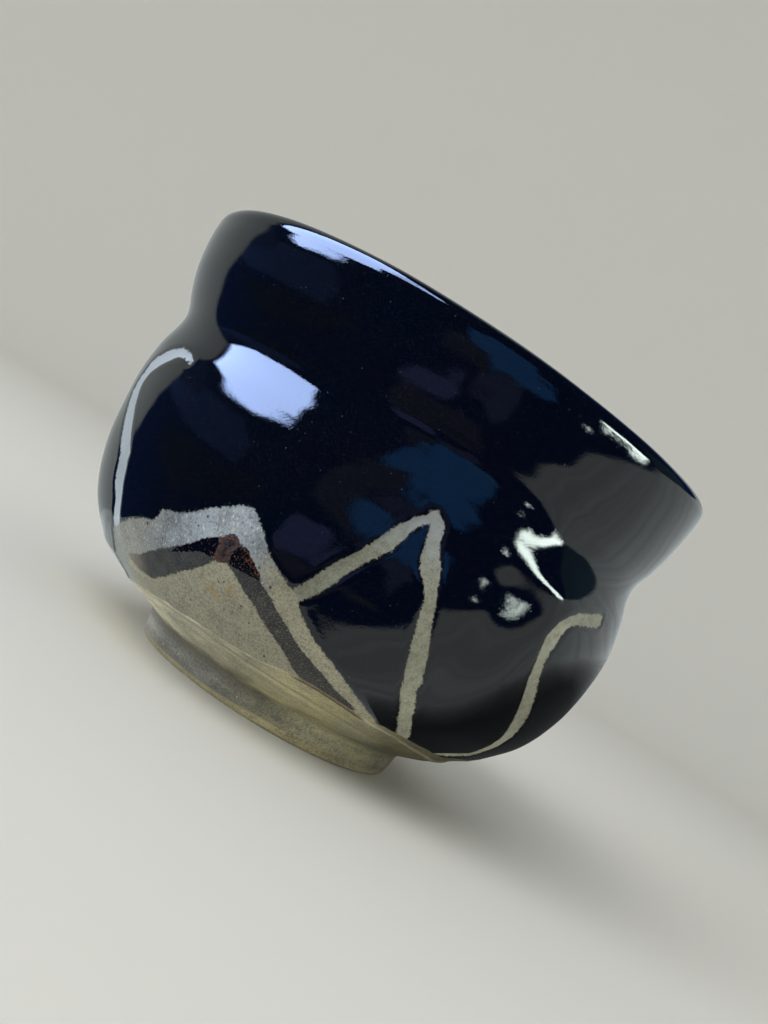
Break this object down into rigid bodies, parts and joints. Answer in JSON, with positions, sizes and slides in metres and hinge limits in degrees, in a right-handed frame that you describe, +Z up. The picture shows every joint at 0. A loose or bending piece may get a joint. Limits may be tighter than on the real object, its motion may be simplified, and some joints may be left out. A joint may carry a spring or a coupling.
{
  "type": "tea bowl",
  "caption": "Hand-thrown stoneware tea bowl with a flared rim, a pinched waist, a full belly and a turned foot ring, for holding tea.",
  "frame": {"origin": "centre of the footprint of the whole bowl, on the plane that the foot ring stands on", "axes": "+Z up through the mouth, -Y towards the brushed side that the picture shows, +X to the right seen from that side"},
  "size_m": [0.1188, 0.1188, 0.0842],
  "materials": {
    "glazed_stoneware": "glossy black glaze with cream reserved lines, over bare buff stoneware at the foot"
  },
  "bodies": {
    "root": {"tea_bowl": "glazed_stoneware"}
  },
  "joints": []
}
